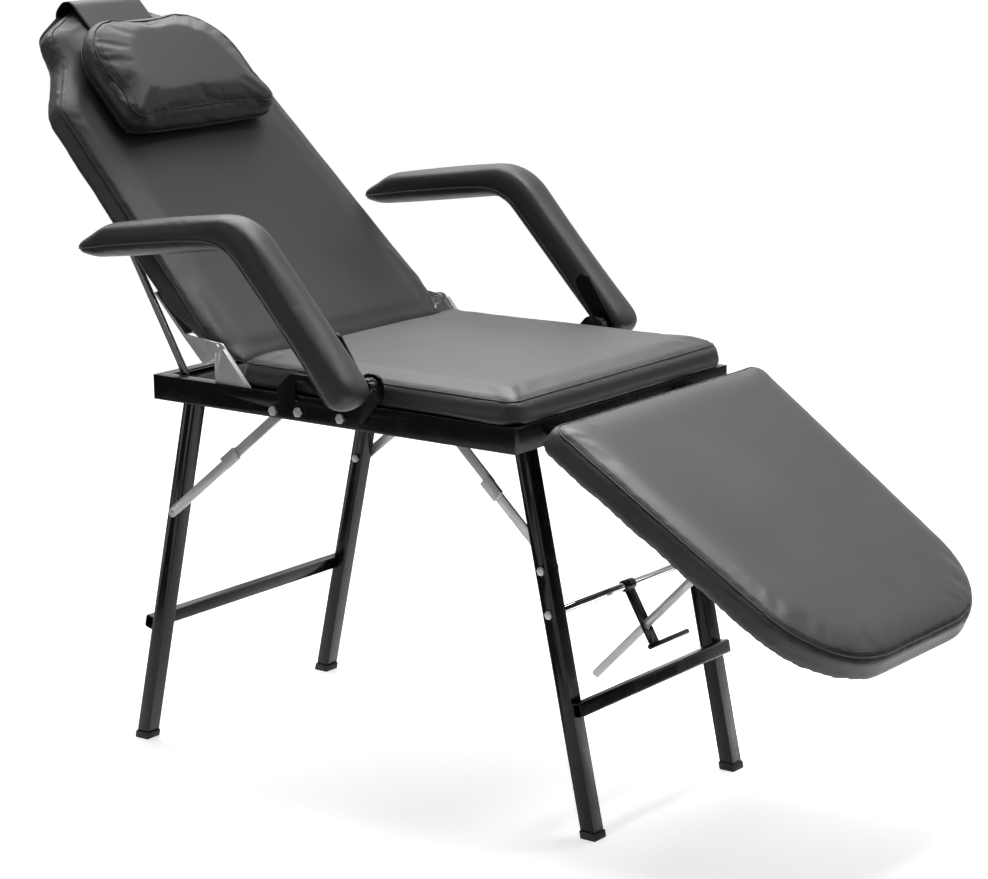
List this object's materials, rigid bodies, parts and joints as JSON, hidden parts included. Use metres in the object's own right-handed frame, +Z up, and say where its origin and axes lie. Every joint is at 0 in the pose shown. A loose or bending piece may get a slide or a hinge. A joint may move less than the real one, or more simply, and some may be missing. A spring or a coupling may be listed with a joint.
{
  "type": "portable treatment bed",
  "caption": "Folding treatment bed with tilting back, leg rest, swing-up arms, head pillow and folding tube legs",
  "frame": {"origin": "On the floor, at the middle of the bounding box in X and Y", "axes": "X runs from the head end to the foot end, Y across to the sitter's left, Z up"},
  "size_m": [1.645, 0.7722, 1.2259],
  "materials": {
    "black_paint": "gloss black enamel",
    "zinc": "bright zinc plate",
    "chrome": "polished chrome",
    "leatherette": "fine grained black leatherette",
    "board": "plywood under black lining",
    "black_rubber": "moulded rubber",
    "black_plastic": "moulded plastic"
  },
  "bodies": {
    "seat_frame": {"side_rail_left": "black_paint", "side_rail_right": "black_paint", "rear_rail": "black_paint", "front_rail": "black_paint", "mid_cross_bar": "black_paint", "seat_board": "board", "seat_pad": "leatherette", "hinge_gusset_left": "zinc", "hinge_gusset_right": "zinc", "back_hinge_pins": "zinc", "prop_rack_left": "black_paint", "prop_rack_right": "black_paint", "arm_bracket_left": "black_paint", "arm_bracket_right": "black_paint", "arm_bracket_bolts": "zinc", "leg_pivot_bolts": "zinc", "rear_brace_rail_bolts": "zinc", "front_brace_lug_pins": "zinc", "legrest_hinge_leaves": "black_paint"},
    "backrest": {"backrest_board": "board", "backrest_pad": "leatherette", "back_cheek_left": "zinc", "back_cheek_right": "zinc", "prop_clevises": "black_paint"},
    "back_prop": {"prop_strut_left": "chrome", "prop_strut_right": "chrome", "prop_foot_bar": "black_paint"},
    "head_pillow": {"pillow": "leatherette", "pillow_band": "leatherette"},
    "legrest": {"legrest_board": "board", "legrest_pad": "leatherette", "legrest_hinge_straps": "black_paint", "stay_bracket": "black_paint"},
    "front_legs": {"front_leg_left": "black_paint", "front_leg_right": "black_paint", "front_cross_bar": "black_paint", "front_feet": "black_rubber", "front_leg_bolts": "zinc", "stay_rod": "chrome"},
    "rear_legs": {"rear_leg_left": "black_paint", "rear_leg_right": "black_paint", "rear_cross_bar": "black_paint", "rear_feet": "black_rubber", "rear_leg_bolts": "zinc"},
    "rear_brace_upper": {"rear_brace_upper_links": "zinc", "rear_brace_clips": "zinc"},
    "rear_brace_lower": {"rear_brace_lower_links": "zinc"},
    "front_brace_upper": {"front_brace_upper_links": "zinc"},
    "front_brace_lower": {"front_brace_lower_links": "zinc", "front_brace_clips": "zinc"},
    "jam_strap_swinging": {"jam_strap": "black_paint", "release_bar": "black_paint"},
    "stay_tube_sliding": {"stay_tube": "zinc", "stay_pin": "zinc"},
    "arm_left": {"arm_pad_left": "leatherette", "arm_plate_left": "black_paint"},
    "arm_right": {"arm_pad_right": "leatherette", "arm_plate_right": "black_paint"},
    "knob_left": {"arm_knob_left": "black_plastic"},
    "knob_right": {"arm_knob_right": "black_plastic"}
  },
  "joints": [
    {"name": "backrest_tilt", "type": "hinge", "parent": "seat_frame", "child": "backrest", "pos_m": [-0.26719, 0, 0.697], "axis": [0, -1, 0], "range_deg": [0, 45]},
    {"name": "prop_swing", "type": "hinge", "parent": "backrest", "child": "back_prop", "pos_m": [-0.50301, 0, 0.86423], "axis": [0, -1, 0], "range_deg": [0, 14.99]},
    {"name": "pillow_slide", "type": "slide", "parent": "backrest", "child": "head_pillow", "axis": [-0.7071, 0, 0.7071], "range_m": [0, 0.32]},
    {"name": "legrest_tilt", "type": "hinge", "parent": "seat_frame", "child": "legrest", "pos_m": [0.32481, 0, 0.621], "axis": [0, -1, 0], "range_deg": [-20, 33.5]},
    {"name": "front_leg_fold", "type": "hinge", "parent": "seat_frame", "child": "front_legs", "pos_m": [0.26133, 0, 0.612], "axis": [0, 1, 0], "range_deg": [0, 91]},
    {"name": "rear_leg_fold", "type": "hinge", "parent": "seat_frame", "child": "rear_legs", "pos_m": [-0.36436, 0, 0.61], "axis": [0, -1, 0], "range_deg": [0, 97]},
    {"name": "front_upper_link_turn", "type": "hinge", "parent": "seat_frame", "child": "front_brace_upper", "pos_m": [0.08281, 0, 0.612], "axis": [0, -1, 0], "range_deg": [0, 40.23]},
    {"name": "front_lower_link_turn", "type": "hinge", "parent": "front_legs", "child": "front_brace_lower", "pos_m": [0.30303, 0, 0.407], "axis": [0, -1, 0], "range_deg": [-35.01, 0]},
    {"name": "rear_upper_link_turn", "type": "hinge", "parent": "seat_frame", "child": "rear_brace_upper", "pos_m": [-0.15119, 0, 0.612], "axis": [0, -1, 0], "range_deg": [-40.2, 0]},
    {"name": "rear_lower_link_turn", "type": "hinge", "parent": "rear_legs", "child": "rear_brace_lower", "pos_m": [-0.41202, 0, 0.405], "axis": [0, -1, 0], "range_deg": [0, 34.32]},
    {"name": "jam_strap_swing", "type": "hinge", "parent": "front_legs", "child": "jam_strap_swinging", "pos_m": [0.31645, 0, 0.341], "axis": [0, -1, 0], "range_deg": [-4.95, 8.29]},
    {"name": "stay_tube_slide", "type": "slide", "parent": "jam_strap_swinging", "child": "stay_tube_sliding", "axis": [0.705, 0, 0.7092], "range_m": [-0.0807, 0.13517]},
    {"name": "arm_left_swing", "type": "hinge", "parent": "seat_frame", "child": "arm_left", "pos_m": [0.05281, -0.354, 0.676], "axis": [0, 1, 0], "range_deg": [0, 95]},
    {"name": "knob_left_turn", "type": "hinge", "parent": "seat_frame", "child": "knob_left", "pos_m": [0.05281, -0.298, 0.676], "axis": [0, 1, 0], "continuous": true},
    {"name": "arm_right_swing", "type": "hinge", "parent": "seat_frame", "child": "arm_right", "pos_m": [0.05281, 0.354, 0.676], "axis": [0, 1, 0], "range_deg": [0, 95]},
    {"name": "knob_right_turn", "type": "hinge", "parent": "seat_frame", "child": "knob_right", "pos_m": [0.05281, 0.298, 0.676], "axis": [0, 1, 0], "continuous": true}
  ],
  "couplings": [
    {"joint": "prop_swing", "follows": "backrest_tilt", "ratio": 0.33312},
    {"joint": "front_upper_link_turn", "follows": "front_leg_fold", "ratio": 0.44208},
    {"joint": "front_lower_link_turn", "follows": "front_leg_fold", "ratio": -0.38473},
    {"joint": "rear_upper_link_turn", "follows": "rear_leg_fold", "ratio": -0.41448},
    {"joint": "rear_lower_link_turn", "follows": "rear_leg_fold", "ratio": 0.35385},
    {"joint": "jam_strap_swing", "follows": "legrest_tilt", "ratio": 0.24744},
    {"joint": "stay_tube_slide", "follows": "legrest_tilt", "m_per_rad": 0.23119}
  ]
}
